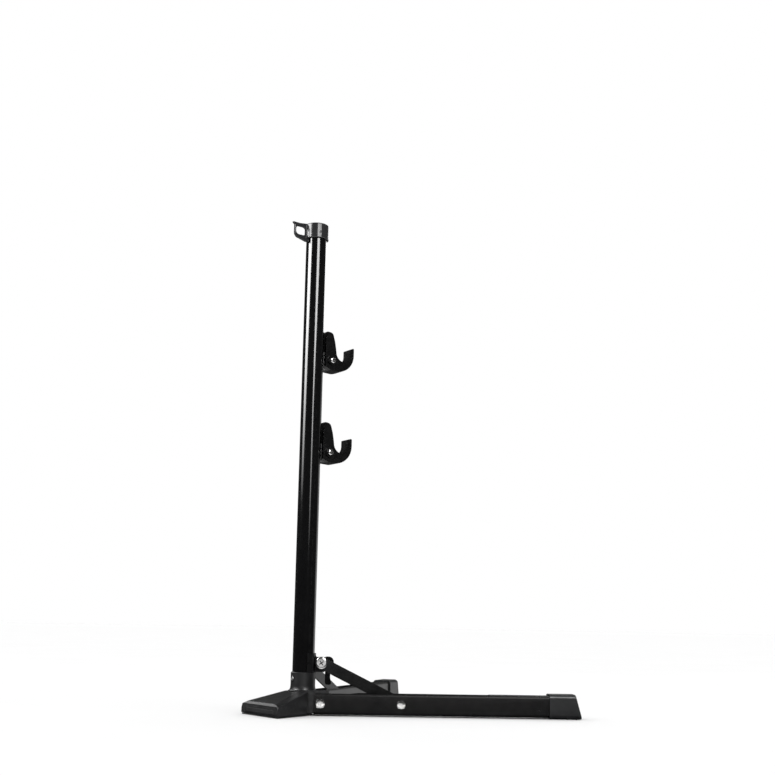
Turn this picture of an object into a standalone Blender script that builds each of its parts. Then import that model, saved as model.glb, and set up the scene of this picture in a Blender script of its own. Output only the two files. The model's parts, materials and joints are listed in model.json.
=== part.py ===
"""Folding lift stand for a heavy bicycle: a round column with two rubber coated hooks, two legs and a foot.

Run with blender --background --python part.py. Metres, +Z up, the column's axis on the origin, the floor at
z = 0. The hooks and the middle of the V between the legs point along +X, the foot along -X.
"""

import math

import bmesh
import bpy
from mathutils import Matrix, Vector

# Clearances
GAP = 0.0003
RUNNING_GAP = 0.0005
SCREW_GAP = 0.0003

# Column
COLUMN_RADIUS = 0.0175
COLUMN_WALL = 0.0020
COLUMN_FOOT = 0.0123
COLUMN_LENGTH = 0.8000
SLOT_WIDTH = 0.0092

# Top cap and its eye
CAP_RADIUS = 0.0210
CAP_SKIRT = 0.0222
CAP_ROOF = 0.0040
CAP_FILLET = 0.0022
EYE_THICKNESS = 0.0046
EYE_END = 0.0448
EYE_HORN = 0.0482
EYE_HOLE = (0.0427, 0.0224)
EYE_HOLE_DROP = (0.0078, 0.0231)
EYE_HOLE_ROUND = 0.0062
EYE_ROUND = 0.0095
EYE_FOOT = ((0.0320, 0.0303), (0.0226, 0.0328))
EYE_FOOT_DROP = 0.0293
EYE_SAG = 0.0024
CAP_PIN_RADIUS = 0.0018
CAP_PIN_ANGLE = math.radians(-103)
CAP_PIN_DROP = 0.0165

# Legs
LEG_ANGLE = math.radians(34.2)
LEG_OFFSET = 0.0100
LEG_WIDTH = 0.0300
LEG_HEIGHT = 0.0332
LEG_WALL = 0.0020
LEG_CORNER = 0.0042
LEG_INSIDE_CORNER = 0.0004
LEG_HEEL = 0.0100
LEG_LENGTH = 0.3900
LEG_SLOT_LENGTH = 0.2680
LEG_HEEL_ROUND = 0.0040
PIVOT_REACH = 0.0290
PIVOT_HEIGHT = 0.0186
FOLD_ANGLE = math.radians(83)
LUG_RADIUS = 0.0085

# Rubber ends of the legs
END_GRIP = 0.0282
END_LENGTH = 0.0512
END_SLANT = 0.0098
END_WALL = 0.0028
END_SOLE = 0.0011
END_ROUND = 0.0060
END_EDGE = 0.0010
STUD_START = 0.0280
STUD_LENGTH = 0.0150
STUD_WIDTH = 0.0300

# Braces
BRACE_REACH = 0.1275
BRACE_RISE = 0.0619
BRACE_WIDTH = 0.0184
BRACE_THICKNESS = 0.0024
BRACE_OFFSET = 0.0080
BRACE_FLAT_END = 0.0200
BRACE_FLAT_TOP = 0.0330

# Runner on the column
RUNNER_TOP = 0.0955
RUNNER_WALL = 0.0019
RUNNER_BACK = -0.0040
EAR_THICKNESS = 0.0032
EAR_REACH = 0.0092
EAR_SHOULDER = 0.0175
EAR_SLOPE = 0.0035
EAR_CHAMFER = 0.0050

# Cam that locks the runner
CAM_RADIUS = 0.0098
LEVER_THICKNESS = 0.0062
LEVER_DEPTH = 0.0064
LEVER_TOE = 0.0042
TOE_BACK = 2.2
TOE_FRONT = 2.6
LEVER_BOTTOM = 0.0450
CAM_PIN_X = 0.0465
CAM_PIN_Z = 0.0800
CAM_PIN_RADIUS = 0.0022
PIN_HEAD = (0.0032, 0.0008)
PIN_CROWN = 0.8
CHEEK_THICKNESS = 0.0024
CHEEK_RADIUS = 0.0062
SHOE_HALF_HEIGHT = 0.0050

# Base moulding
COLLAR_RADIUS = 0.0197
COLLAR_TOP = 0.0660
FLARE_RADIUS = 0.0235
FLARE_TOP = 0.0450
FLARE_CURVE = ((0.13, 0.50), (0.40, 0.80))
HUB_TOP = 0.0365
CREST_TOP = 0.0355
BLOCK_EDGE = 0.0014
BASE_EDGE = 0.0008
BASE_FLOOR = 0.0023
SOCKET_FLOOR = 0.0120
FOOT_END = 0.0785
FOOT_HALF_WIDTH = 0.0570
FOOT_LEDGE = 0.0100
FOOT_RIM = 0.0170
FOOT_RIM_BACK = 0.0014
FOOT_BROW = 0.0206
FOOT_BROW_BACK = 0.0040
FOOT_BROW_HALF_WIDTH = 0.0440
FOOT_CORNER_RIM = 0.0160
FOOT_SIDE_OFFSET = 0.0285
FOOT_FRONT = 0.0088
FOOT_SHELF = 0.0120
TONGUE_TOP = 0.0385
TONGUE_ROOT = 0.0040
TONGUE_CHAMFER = 0.0030
WALL_ROOM_TOP = 0.0528
PAD_THICKNESS = 0.0020
PAD_INSET = 0.0012
INSERT_SILL = 0.0018
INSERT_HEIGHT = 0.0080
INSERT_DEPTH = 0.0060
INSERT_HALF_WIDTH = 0.0430
BASE_SCREW_RADIUS = 0.0035
BASE_SCREW_Z = 0.0560

# Screws: shank radius, head radius, head height
PIVOT_SCREW = (0.0040, 0.0080, 0.0030)
LOWER_SCREW = (0.0035, 0.0071, 0.0028)
UPPER_SCREW = (0.0037, 0.0097, 0.0034)
HOOK_SCREW = (0.0030, 0.0052, 0.0028)
NUT_HEIGHT = 0.0038
NUT_RADIUS = 0.0060
SCREW_TIP = 0.0010

# The dome of a pan head and its cross, as shares of the head's radius and height
PAN_DOME = ((0.35, 0.97), (0.75, 0.78), (0.95, 0.42), (1.00, 0.12))
CROSS_SPAN = 0.48
CROSS_ARM = 0.10
CROSS_FLOOR = 0.45

# Lifting carriage, hooks and the strut that carries them
HOOK_HEIGHTS = (0.4223, 0.5797)
HOOK_SCREW_X = 0.0305
HOOK_WIDTH = 0.0270
HOOK_BACK_GAP = 0.0020
HOOK_BOSS_RADIUS = 0.0090
HOOK_BOSS_HEIGHT = 0.0022
HOOK_EDGE = 0.0014
HOOK_ARCH = 0.0390
HOOK_STEPS = 14
HOOK_SWEEP = 106
HOOK_TAPER = 1.8
HOOK_FOOT_RADIUS = 0.0350
HOOK_LIP_RADIUS = 0.0198
HOOK_LIP_TOP = 0.0250
HOOK_HEEL = 0.0120
HOOK_HEEL_LOW = 0.0166
HOOK_BACK_TOP = 0.0522
HOOK_BACK_CORNER = 0.0360
HOOK_FRONT = ((0.0070, 0.0224), (0.0050, 0.0330), (0.0029, 0.0400))
HOOK_BACK_MIDDLE = -0.0030
HOOK_BACK_ROUND = 0.0052
CRADLE_RADIUS = 0.0160
CRADLE_X = 0.0545
CRADLE_Z = 0.0160
LUG_WIDTH = 0.0080
LUG_HALF_HEIGHT = 0.0150
LUG_REACH = 0.0360
CARRIAGE_RADIUS = 0.0144
GROOVE_RADIUS = 0.0128
CARRIAGE_OVERHANG = 0.0310
CARRIAGE_SHOULDER = 0.0010
GUIDE_HEIGHT = 0.0090
LIFT_DOWN = 0.0900
LIFT_UP = 0.0600
STRUT_RADIUS = 0.0115
STRUT_WALL = 0.0015
STRUT_LENGTH = 0.2260
ROD_RADIUS = 0.0040
ROD_SEAT = 0.0150
PISTON_HEIGHT = 0.0120
PISTON_SPARE = 0.0040
GLAND_HEIGHT = 0.0100

# Worked out from the values above
COLUMN_TOP = COLUMN_FOOT + COLUMN_LENGTH
COLUMN_BORE = COLUMN_RADIUS - COLUMN_WALL
CAP_TOP = COLUMN_TOP + GAP + CAP_ROOF
CAP_BOTTOM = CAP_TOP - CAP_ROOF - CAP_SKIRT
SLEEVE = COLUMN_RADIUS + GAP
LEG_OUTER = LEG_OFFSET + LEG_WIDTH / 2
LEG_INNER = LEG_OFFSET - LEG_WIDTH / 2
BRACE_INNER = LEG_INNER + LEG_WALL + RUNNING_GAP
EAR_OUTER = BRACE_INNER + BRACE_OFFSET - GAP
EAR_INNER = EAR_OUTER - EAR_THICKNESS
END_START = LEG_LENGTH - END_GRIP
TONGUE_NOSE = LEG_HEIGHT / 2 - LEG_WALL - RUNNING_GAP - GAP
BRACE_LENGTH = math.hypot(BRACE_REACH, BRACE_RISE)
BRACE_TILT = math.atan2(BRACE_RISE, -BRACE_REACH)
UPPER_PIVOT_Z = PIVOT_HEIGHT + BRACE_RISE
RUNNER_BOTTOM = COLLAR_TOP + GAP

MERGE_DISTANCE = 0.000001
BEYOND = 0.1000
ROUND = 32
SMALL_ROUND = 20
SMOOTH_ANGLE = math.radians(35)

MATERIALS = {
    "painted_steel": ((0.012, 0.012, 0.013), 0.28, 0.0),
    "black_plastic": ((0.020, 0.020, 0.022), 0.45, 0.0),
    "rubber": ((0.030, 0.031, 0.034), 0.75, 0.0),
    "bright_steel": ((0.62, 0.62, 0.63), 0.25, 1.0),
    "plain_steel": ((0.45, 0.45, 0.46), 0.40, 1.0),
}


def clear_scene():
    for obj in list(bpy.data.objects):
        bpy.data.objects.remove(obj, do_unlink=True)


def make_materials():
    for name, (colour, roughness, metallic) in MATERIALS.items():
        material = bpy.data.materials.new(name)
        material.use_nodes = True
        shader = material.node_tree.nodes["Principled BSDF"]
        shader.inputs["Base Color"].default_value = (*colour, 1.0)
        shader.inputs["Roughness"].default_value = roughness
        shader.inputs["Metallic"].default_value = metallic


def new_collection(name):
    collection = bpy.data.collections.new(name)
    bpy.context.scene.collection.children.link(collection)
    return collection


def empty(name, parent, location=(0, 0, 0), rotation=(0, 0, 0)):
    """A pivot that pieces hang on."""
    obj = bpy.data.objects.new(name, None)
    obj.empty_display_size = 0.02
    obj.location = location
    obj.rotation_euler = rotation
    obj.parent = parent
    parts.objects.link(obj)
    return obj


def put(name, mesh, material, parent):
    """A part whose mesh is in its parent's frame. Without a material it is a cutter or a piece to join."""
    obj = bpy.data.objects.new(name, mesh)
    obj.parent = parent
    if material is None:
        obj.hide_render = True
        obj.display_type = "WIRE"
        cutters.objects.link(obj)
        return obj
    mesh.materials.append(bpy.data.materials[material])
    mesh.shade_smooth()
    mesh.set_sharp_from_angle(angle=SMOOTH_ANGLE)
    parts.objects.link(obj)
    return obj


def mesh_from(bm, name):
    mesh = bpy.data.meshes.new(name)
    bm.to_mesh(mesh)
    bm.free()
    return mesh


def box(name, low, high, material=None, parent=None):
    """A box between two corners, which may be given in any order."""
    bm = bmesh.new()
    bmesh.ops.create_cube(bm, size=1.0)
    low, high = Vector(low), Vector(high)
    size = high - low
    middle = (low + high) / 2
    scale = Matrix.Diagonal((abs(size.x), abs(size.y), abs(size.z), 1.0))
    bmesh.ops.transform(bm, matrix=Matrix.Translation(middle) @ scale, verts=bm.verts)
    return put(name, mesh_from(bm, name), material, parent)


def rod(name, start, end, radius, material=None, parent=None, sides=SMALL_ROUND):
    """A round bar between two points."""
    start, end = Vector(start), Vector(end)
    axis = end - start
    turn = Vector((0, 0, 1)).rotation_difference(axis).to_matrix().to_4x4()
    bm = bmesh.new()
    bmesh.ops.create_cone(
        bm,
        cap_ends=True,
        segments=sides,
        radius1=radius,
        radius2=radius,
        depth=axis.length,
        matrix=Matrix.Translation((start + end) / 2) @ turn,
    )
    return put(name, mesh_from(bm, name), material, parent)


def turned(name, profile, material=None, parent=None, matrix=None, steps=ROUND):
    """A closed profile of (radius, height) points, spun about the local Z axis."""
    bm = bmesh.new()
    verts = [bm.verts.new((radius, 0, height)) for radius, height in profile]
    for first, second in zip(verts, verts[1:] + verts[:1]):
        if first.co.x > 0 or second.co.x > 0:
            bm.edges.new((first, second))
    bmesh.ops.spin(
        bm,
        geom=list(bm.verts) + list(bm.edges),
        cent=(0, 0, 0),
        axis=(0, 0, 1),
        angle=2 * math.pi,
        steps=steps,
        use_merge=True,
    )
    bmesh.ops.remove_doubles(bm, verts=bm.verts, dist=MERGE_DISTANCE)
    bmesh.ops.recalc_face_normals(bm, faces=bm.faces)
    obj = put(name, mesh_from(bm, name), material, parent)
    if matrix is not None:
        obj.matrix_local = matrix
    return obj


def flat_solid(name, outline, thickness, matrix):
    """A mesh from a closed 2D curve, extruded evenly about its plane."""
    curve = bpy.data.curves.new(name, "CURVE")
    curve.dimensions = "2D"
    curve.fill_mode = "BOTH"
    curve.extrude = thickness / 2
    spline = curve.splines.new("POLY")
    spline.points.add(len(outline) - 1)
    for point, (across, up) in zip(spline.points, outline):
        point.co = (across, up, 0, 1)
    spline.use_cyclic_u = True
    holder = bpy.data.objects.new(name + "_outline", curve)
    cutters.objects.link(holder)
    graph = bpy.context.evaluated_depsgraph_get()
    mesh = bpy.data.meshes.new_from_object(holder.evaluated_get(graph))
    bpy.data.objects.remove(holder, do_unlink=True)
    bm = bmesh.new()
    bm.from_mesh(mesh)
    bmesh.ops.remove_doubles(bm, verts=bm.verts, dist=MERGE_DISTANCE)
    bmesh.ops.recalc_face_normals(bm, faces=bm.faces)
    bmesh.ops.transform(bm, matrix=matrix, verts=bm.verts)
    bm.to_mesh(mesh)
    bm.free()
    return mesh


def side_slab(name, outline, low, high, material=None, parent=None):
    """A plate whose outline is in the X and Z plane, between two places along Y."""
    upright = Matrix.Translation((0, (low + high) / 2, 0)) @ Matrix.Rotation(math.pi / 2, 4, "X")
    mesh = flat_solid(name, outline, abs(high - low), upright)
    return put(name, mesh, material, parent)


def flat_slab(name, outline, low, high, material=None, parent=None):
    """A plate whose outline is in the X and Y plane, between two heights."""
    mesh = flat_solid(name, outline, high - low, Matrix.Translation((0, 0, (low + high) / 2)))
    return put(name, mesh, material, parent)


def long_bar(name, outline, start, end, material=None, parent=None):
    """A bar along X whose section is in the Y and Z plane."""
    along = Matrix(((0, 0, 1, (start + end) / 2), (1, 0, 0, 0), (0, 1, 0, 0), (0, 0, 0, 1)))
    mesh = flat_solid(name, outline, end - start, along)
    return put(name, mesh, material, parent)


def boolean(obj, other, operation):
    modifier = obj.modifiers.new(other.name, "BOOLEAN")
    modifier.operation = operation
    modifier.solver = "EXACT"
    modifier.object = other


def cut(obj, *others):
    for other in others:
        boolean(obj, other, "DIFFERENCE")


def join(obj, *others):
    for other in others:
        boolean(obj, other, "UNION")


def soften(obj, width, segments=2):
    """Rounds the edges of a solid."""
    bevel = obj.modifiers.new("edges", "BEVEL")
    bevel.width = width
    bevel.segments = segments
    bevel.limit_method = "ANGLE"
    bevel.angle_limit = math.radians(40)


def arc(centre, radius, start, end, count):
    """Points on an arc, with the angles in degrees."""
    return [
        (
            centre[0] + radius * math.cos(math.radians(start + (end - start) * i / count)),
            centre[1] + radius * math.sin(math.radians(start + (end - start) * i / count)),
        )
        for i in range(count + 1)
    ]


def rounded_box(left, right, bottom, top, radius, count=3):
    return (
        arc((right - radius, bottom + radius), radius, -90, 0, count)
        + arc((right - radius, top - radius), radius, 0, 90, count)
        + arc((left + radius, top - radius), radius, 90, 180, count)
        + arc((left + radius, bottom + radius), radius, 180, 270, count)
    )


def stadium(first, last, radius, count=8):
    """A strip along the first axis with round ends about two centres."""
    return arc((last, 0), radius, -90, 90, count) + arc((first, 0), radius, 90, 270, count)


def across_y(x, y, z, direction):
    """Turns the local Z axis of a screw or nut to face along Y, outwards when direction is 1."""
    return Matrix.Translation((x, y, z)) @ Matrix.Rotation(-direction * math.pi / 2, 4, "X")


def pan_screw(name, sizes, length, matrix, parent, material="bright_steel"):
    """A pan head screw: its head starts at the local origin and its shank runs down from it."""
    shank, head, height = sizes
    profile = [(0, height)]
    profile += [(head * wide, height * tall) for wide, tall in PAN_DOME]
    profile += [(head, 0), (shank, 0), (shank, -length), (0, -length)]
    screw = turned(name, profile, material, parent, matrix, SMALL_ROUND + 4)
    slot = head * CROSS_SPAN
    arm = head * CROSS_ARM
    deep = height * CROSS_FLOOR
    for number, (wide, tall) in enumerate(((slot, arm), (arm, slot))):
        cross = box(f"{name}_cross_{number}", (-wide, -tall, deep), (wide, tall, height * 2), None, parent)
        cross.matrix_local = matrix
        cut(screw, cross)
    return screw


def nut(name, bore, matrix, parent):
    """A hexagonal nut that stands on the local origin. Without a bore it is solid."""
    bm = bmesh.new()
    bmesh.ops.create_cone(
        bm,
        cap_ends=True,
        segments=6,
        radius1=NUT_RADIUS,
        radius2=NUT_RADIUS,
        depth=NUT_HEIGHT,
        matrix=Matrix.Translation((0, 0, NUT_HEIGHT / 2)),
    )
    obj = put(name, mesh_from(bm, name), "plain_steel", parent)
    obj.matrix_local = matrix
    if bore is None:
        return obj
    hole = rod(name + "_bore", (0, 0, -NUT_HEIGHT), (0, 0, NUT_HEIGHT * 2), bore + SCREW_GAP, None, parent)
    hole.matrix_local = matrix
    cut(obj, hole)
    return obj


def world_of(side, along, across):
    """World X and Y of a place in a leg's frame: along the leg, and across it away from the other leg."""
    angle = side * LEG_ANGLE
    lateral = side * across
    return (
        math.cos(angle) * along - math.sin(angle) * lateral,
        math.sin(angle) * along + math.cos(angle) * lateral,
    )


def make_column(stand):
    profile = [
        (COLUMN_RADIUS, COLUMN_TOP),
        (COLUMN_RADIUS, COLUMN_FOOT),
        (COLUMN_BORE, COLUMN_FOOT),
        (COLUMN_BORE, COLUMN_TOP),
    ]
    column = turned("column_tube", profile, "painted_steel", stand, steps=48)
    bottom = HOOK_HEIGHTS[0] - LUG_HALF_HEIGHT - LIFT_DOWN - RUNNING_GAP
    top = HOOK_HEIGHTS[1] + LUG_HALF_HEIGHT + LIFT_UP + RUNNING_GAP
    round_end = SLOT_WIDTH / 2
    outline = arc((0, top), round_end, 0, 180, 8) + arc((0, bottom), round_end, 180, 360, 8)
    cut(column, long_bar("carriage_slot", outline, 0, COLUMN_RADIUS * 2))


def make_cap(stand):
    roof = CAP_TOP - CAP_FILLET
    round_edge = [(x, z) for x, z in reversed(arc((CAP_RADIUS - CAP_FILLET, roof), CAP_FILLET, 0, 90, 4))]
    profile = [(0, CAP_TOP)] + round_edge + [
        (CAP_RADIUS, CAP_BOTTOM + CAP_FILLET / 3),
        (CAP_RADIUS - CAP_FILLET / 3, CAP_BOTTOM),
        (0, CAP_BOTTOM),
    ]
    cap = turned("top_cap", profile, "black_plastic", stand, steps=40)
    corner = (-EYE_END + EYE_ROUND, CAP_TOP - EYE_FOOT_DROP + EYE_ROUND)
    foot = [(-reach, CAP_TOP - drop) for reach, drop in EYE_FOOT]
    outline = [
        (0, foot[-1][1]),
        (0, CAP_TOP - CAP_FILLET),
        (-CAP_RADIUS, CAP_TOP - EYE_SAG / 3),
        (-EYE_END + EYE_ROUND, CAP_TOP - EYE_SAG),
        (-EYE_HORN, CAP_TOP - EYE_SAG * 0.8),
        (-EYE_HORN, CAP_TOP - EYE_SAG * 1.2),
        (-EYE_END, CAP_TOP - EYE_SAG * 2.5),
    ] + arc(corner, EYE_ROUND, 180, 270, 6) + foot
    arm = side_slab("eye_arm", outline, -EYE_THICKNESS / 2, EYE_THICKNESS / 2)
    soften(arm, CAP_FILLET / 3)
    far, near = (-reach for reach in EYE_HOLE)
    top, bottom = (CAP_TOP - drop for drop in EYE_HOLE_DROP)
    hole = rounded_box(far, near, bottom, top, EYE_HOLE_ROUND, 5)
    eye = side_slab("eye", hole, -CAP_RADIUS, CAP_RADIUS)
    sleeve_foot = foot[-1][1] - CAP_FILLET
    sleeve = rod("cap_sleeve", (0, 0, sleeve_foot), (0, 0, COLUMN_TOP + GAP), SLEEVE, sides=48)
    join(cap, arm)
    facing = Vector((math.cos(CAP_PIN_ANGLE), math.sin(CAP_PIN_ANGLE), 0))
    middle = Vector((0, 0, CAP_TOP - CAP_PIN_DROP))
    start = middle + facing * (SLEEVE + GAP)
    hole = rod("cap_pin_hole", start - facing * GAP, start + facing * CAP_RADIUS, CAP_PIN_RADIUS + GAP)
    cut(cap, eye, sleeve, hole)
    end = middle + facing * (CAP_RADIUS - GAP)
    rod("cap_pin", start, end, CAP_PIN_RADIUS, "plain_steel", stand, sides=16)


def foot_block():
    """The wedge of the foot: an outline raised to the hub's height, with its top, end and sides sloped."""
    corner = world_of(1, FOOT_FRONT, FOOT_SIDE_OFFSET)
    inner = world_of(1, FOOT_FRONT, LEG_OFFSET)
    right = [(-FOOT_END, -FOOT_HALF_WIDTH), (corner[0], -corner[1]), (inner[0], -inner[1])]
    left = [(x, -y) for x, y in reversed(right)]
    bm = bmesh.new()
    face = bm.faces.new([bm.verts.new((x, y, BASE_FLOOR)) for x, y in right + left])
    raised = bmesh.ops.extrude_face_region(bm, geom=[face])["geom"]
    tops = [item for item in raised if isinstance(item, bmesh.types.BMVert)]
    bmesh.ops.translate(bm, vec=(0, 0, HUB_TOP - BASE_FLOOR), verts=tops)
    bmesh.ops.recalc_face_normals(bm, faces=bm.faces)
    shoulder = corner[0] - FOOT_SHELF
    ledge = (-FOOT_END, FOOT_LEDGE)
    rim = (-FOOT_END + FOOT_RIM_BACK, FOOT_RIM)
    brow = (-FOOT_END + FOOT_BROW_BACK, FOOT_BROW)
    top = (shoulder, HUB_TOP)
    slopes = []
    for low, high in ((ledge, rim), (rim, brow), (brow, top)):
        slopes.append(((low[0], 0, low[1]), (low[0], 1, low[1]), (high[0], 0, high[1])))
    for side in (-1, 1):
        rim_corner = (-FOOT_END, side * FOOT_HALF_WIDTH, FOOT_CORNER_RIM)
        crest = (corner[0], side * corner[1], CREST_TOP)
        brow_end = (brow[0], side * FOOT_BROW_HALF_WIDTH, FOOT_BROW)
        slopes.append((rim_corner, crest, brow_end))
    for first, second, third in slopes:
        normal = (Vector(second) - Vector(first)).cross(Vector(third) - Vector(first)).normalized()
        if normal.z < 0:
            normal.negate()
        geometry = list(bm.verts) + list(bm.edges) + list(bm.faces)
        bmesh.ops.bisect_plane(bm, geom=geometry, plane_co=first, plane_no=normal, clear_outer=True)
        rim_edges = [edge for edge in bm.edges if edge.is_boundary]
        bmesh.ops.edgeloop_fill(bm, edges=rim_edges)
    bmesh.ops.recalc_face_normals(bm, faces=bm.faces)
    return put("foot_block", mesh_from(bm, "foot_block"), None, None)


def make_base(stand, leg_frames):
    edge = BASE_EDGE
    flare = FLARE_RADIUS - COLLAR_RADIUS
    drop = FLARE_TOP - HUB_TOP - edge
    core = [
        (0, COLLAR_TOP),
        (COLLAR_RADIUS - edge, COLLAR_TOP),
        (COLLAR_RADIUS, COLLAR_TOP - edge),
        (COLLAR_RADIUS, FLARE_TOP),
        *((COLLAR_RADIUS + flare * out, FLARE_TOP - drop * down) for out, down in FLARE_CURVE),
        (FLARE_RADIUS, HUB_TOP + edge),
        (FLARE_RADIUS, BASE_FLOOR + edge),
        (0, BASE_FLOOR + edge),
    ]
    base = turned("foot_base", core, "black_plastic", stand, steps=40)
    block = foot_block()
    soften(block, BLOCK_EDGE)
    join(base, block)
    half_height = LEG_HEIGHT / 2
    leg_floor = PIVOT_HEIGHT - half_height + LEG_WALL + RUNNING_GAP
    for side, frame in leg_frames.items():
        word = "left" if side > 0 else "right"
        nose = PIVOT_REACH + TONGUE_NOSE
        sole = leg_floor - LEG_WALL / 2
        outline = [(TONGUE_ROOT, sole)]
        outline += arc((PIVOT_REACH, PIVOT_HEIGHT), TONGUE_NOSE, -90, 0, 6)
        outline += [(nose, TONGUE_TOP - TONGUE_CHAMFER), (nose - TONGUE_CHAMFER, TONGUE_TOP)]
        outline += [(TONGUE_ROOT, TONGUE_TOP)]
        low = side * (LEG_INNER + LEG_WALL / 2)
        high = side * (LEG_OUTER - LEG_WALL - GAP)
        tongue = side_slab(word + "_tongue", outline, low, high, None, frame)
        join(base, tongue)
    socket = rod("column_socket", (0, 0, SOCKET_FLOOR), (0, 0, COLLAR_TOP * 2), SLEEVE, sides=48)
    cut(base, socket)
    reach = PIVOT_REACH * 3
    for side, frame in leg_frames.items():
        word = "left" if side > 0 else "right"
        wall_inside = side * (LEG_INNER - RUNNING_GAP)
        wall_outside = side * (LEG_INNER + LEG_WALL + GAP)
        room = [
            (wall_inside, 0),
            (side * (LEG_OUTER + RUNNING_GAP), 0),
            (side * (LEG_OUTER + RUNNING_GAP), leg_floor),
            (wall_outside, leg_floor),
            (wall_outside, WALL_ROOM_TOP),
            (wall_inside, WALL_ROOM_TOP),
        ]
        cut(base, long_bar(word + "_leg_room", room, SLEEVE + RUNNING_GAP, reach, None, frame))
        hole = (PIVOT_REACH, side * LEG_INNER * 2, PIVOT_HEIGHT)
        far = (PIVOT_REACH, side * LEG_OUTER * 2, PIVOT_HEIGHT)
        cut(base, rod(word + "_pivot_hole", hole, far, PIVOT_SCREW[0] + GAP, None, frame))
    recess_low = (-FOOT_END * 1.1, -INSERT_HALF_WIDTH, BASE_FLOOR + INSERT_SILL)
    recess_high = (-FOOT_END + INSERT_DEPTH, INSERT_HALF_WIDTH, recess_low[2] + INSERT_HEIGHT)
    cut(base, box("insert_recess", recess_low, recess_high))
    low = (-FOOT_END - GAP, recess_low[1] + GAP, recess_low[2] + GAP)
    high = (recess_high[0] - GAP, recess_high[1] - GAP, recess_high[2] - GAP)
    insert = box("foot_bumper", low, high, "rubber", stand)
    soften(insert, edge, 1)
    inner_end = (-SLEEVE, 0, BASE_SCREW_Z)
    outer_end = (-COLLAR_RADIUS - edge, 0, BASE_SCREW_Z)
    beyond = (-FOOT_END, 0, BASE_SCREW_Z)
    cut(base, rod("base_screw_hole", (-COLUMN_BORE, 0, BASE_SCREW_Z), beyond, BASE_SCREW_RADIUS + GAP))
    screw = rod("base_screw", inner_end, outer_end, BASE_SCREW_RADIUS, "plain_steel", stand)
    floor = (-COLLAR_RADIUS + edge, 0, BASE_SCREW_Z)
    cut(screw, rod("base_screw_key", floor, beyond, BASE_SCREW_RADIUS / 2, sides=6))


def make_pad(stand):
    corner = world_of(1, FOOT_FRONT, FOOT_SIDE_OFFSET)
    front = FLARE_RADIUS * 0.5
    right = [
        (-FOOT_END + PAD_INSET, -FOOT_HALF_WIDTH + PAD_INSET),
        (corner[0] - PAD_INSET, -corner[1] + PAD_INSET),
        (front, -front),
    ]
    outline = right + [(x, -y) for x, y in reversed(right)]
    flat_slab("foot_pad", outline, 0, PAD_THICKNESS, "rubber", stand)


def make_leg(side, word, pivot):
    half_width = LEG_WIDTH / 2
    half_height = LEG_HEIGHT / 2
    void_width = half_width - LEG_WALL
    void_height = half_height - LEG_WALL
    spare = LEG_HEEL
    section = rounded_box(-half_width, half_width, -half_height, half_height, LEG_CORNER, 4)
    leg = long_bar(word + "_leg", section, -LEG_HEEL, LEG_LENGTH, "painted_steel", pivot)
    void = rounded_box(-void_width, void_width, -void_height, void_height, LEG_INSIDE_CORNER, 1)
    cut(leg, long_bar(word + "_leg_void", void, -LEG_HEEL - spare, LEG_LENGTH + spare, None, pivot))
    low = (-LEG_HEEL - spare, -void_width, 0)
    high = (LEG_SLOT_LENGTH, void_width, half_height + spare)
    cut(leg, box(word + "_leg_mouth", low, high, None, pivot))
    ramp = (half_height - LUG_RADIUS) * math.tan(FOLD_ANGLE)
    room = [(-LEG_HEEL - spare, 0)]
    room += [(x, z) for x, z in reversed(arc((0, 0), LUG_RADIUS, 90, 180, 6))]
    room += [(ramp, half_height), (ramp, half_height + spare), (-LEG_HEEL - spare, half_height + spare)]
    cut(leg, side_slab(word + "_column_room", room, -side * LEG_WIDTH, 0, None, pivot))
    centre = (-LEG_HEEL + LEG_HEEL_ROUND, half_height - LEG_HEEL_ROUND)
    top = [(x, z) for x, z in reversed(arc(centre, LEG_HEEL_ROUND, 90, 180, 5))]
    top += [(centre[0], half_height + spare), (-LEG_HEEL - spare, half_height + spare)]
    top += [(-LEG_HEEL - spare, centre[1])]
    cut(leg, side_slab(word + "_heel_round", top, 0, side * LEG_WIDTH, None, pivot))
    for place, radius in ((0, PIVOT_SCREW[0]), (BRACE_REACH, LOWER_SCREW[0])):
        start = (place, -LEG_WIDTH, 0)
        end = (place, LEG_WIDTH, 0)
        cut(leg, rod(f"{word}_leg_hole_{place:.2f}", start, end, radius + SCREW_GAP, None, pivot))


def make_leg_end(word, pivot):
    half_width = LEG_WIDTH / 2
    half_height = LEG_HEIGHT / 2
    bottom = -half_height - END_SOLE
    top = half_height + END_WALL
    end = END_START + END_LENGTH
    tall = top - bottom
    edge = half_width + END_WALL
    section = rounded_box(-edge, edge, bottom, top, END_ROUND, 4)
    cap = long_bar(word + "_leg_end", section, END_START, end + END_SLANT, "rubber", pivot)
    beyond = end + 4 * END_SLANT
    slant = [
        (end + END_SLANT, bottom - tall),
        (beyond, bottom - tall),
        (beyond, top + tall),
        (end - 2 * END_SLANT, top + tall),
    ]
    cut(cap, side_slab(word + "_end_slant", slant, -LEG_WIDTH, LEG_WIDTH, None, pivot))
    soften(cap, END_EDGE)
    low = (END_START + STUD_START, -STUD_WIDTH / 2, -PIVOT_HEIGHT)
    high = (END_START + STUD_START + STUD_LENGTH, STUD_WIDTH / 2, bottom + END_SOLE / 2)
    join(cap, box(word + "_leg_stud", low, high, None, pivot))
    room = rounded_box(
        -half_width - GAP, half_width + GAP, -half_height - GAP, half_height + GAP, LEG_CORNER + GAP, 4
    )
    cut(cap, long_bar(word + "_end_socket", room, END_START - LEG_HEEL, LEG_LENGTH + GAP, None, pivot))


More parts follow.
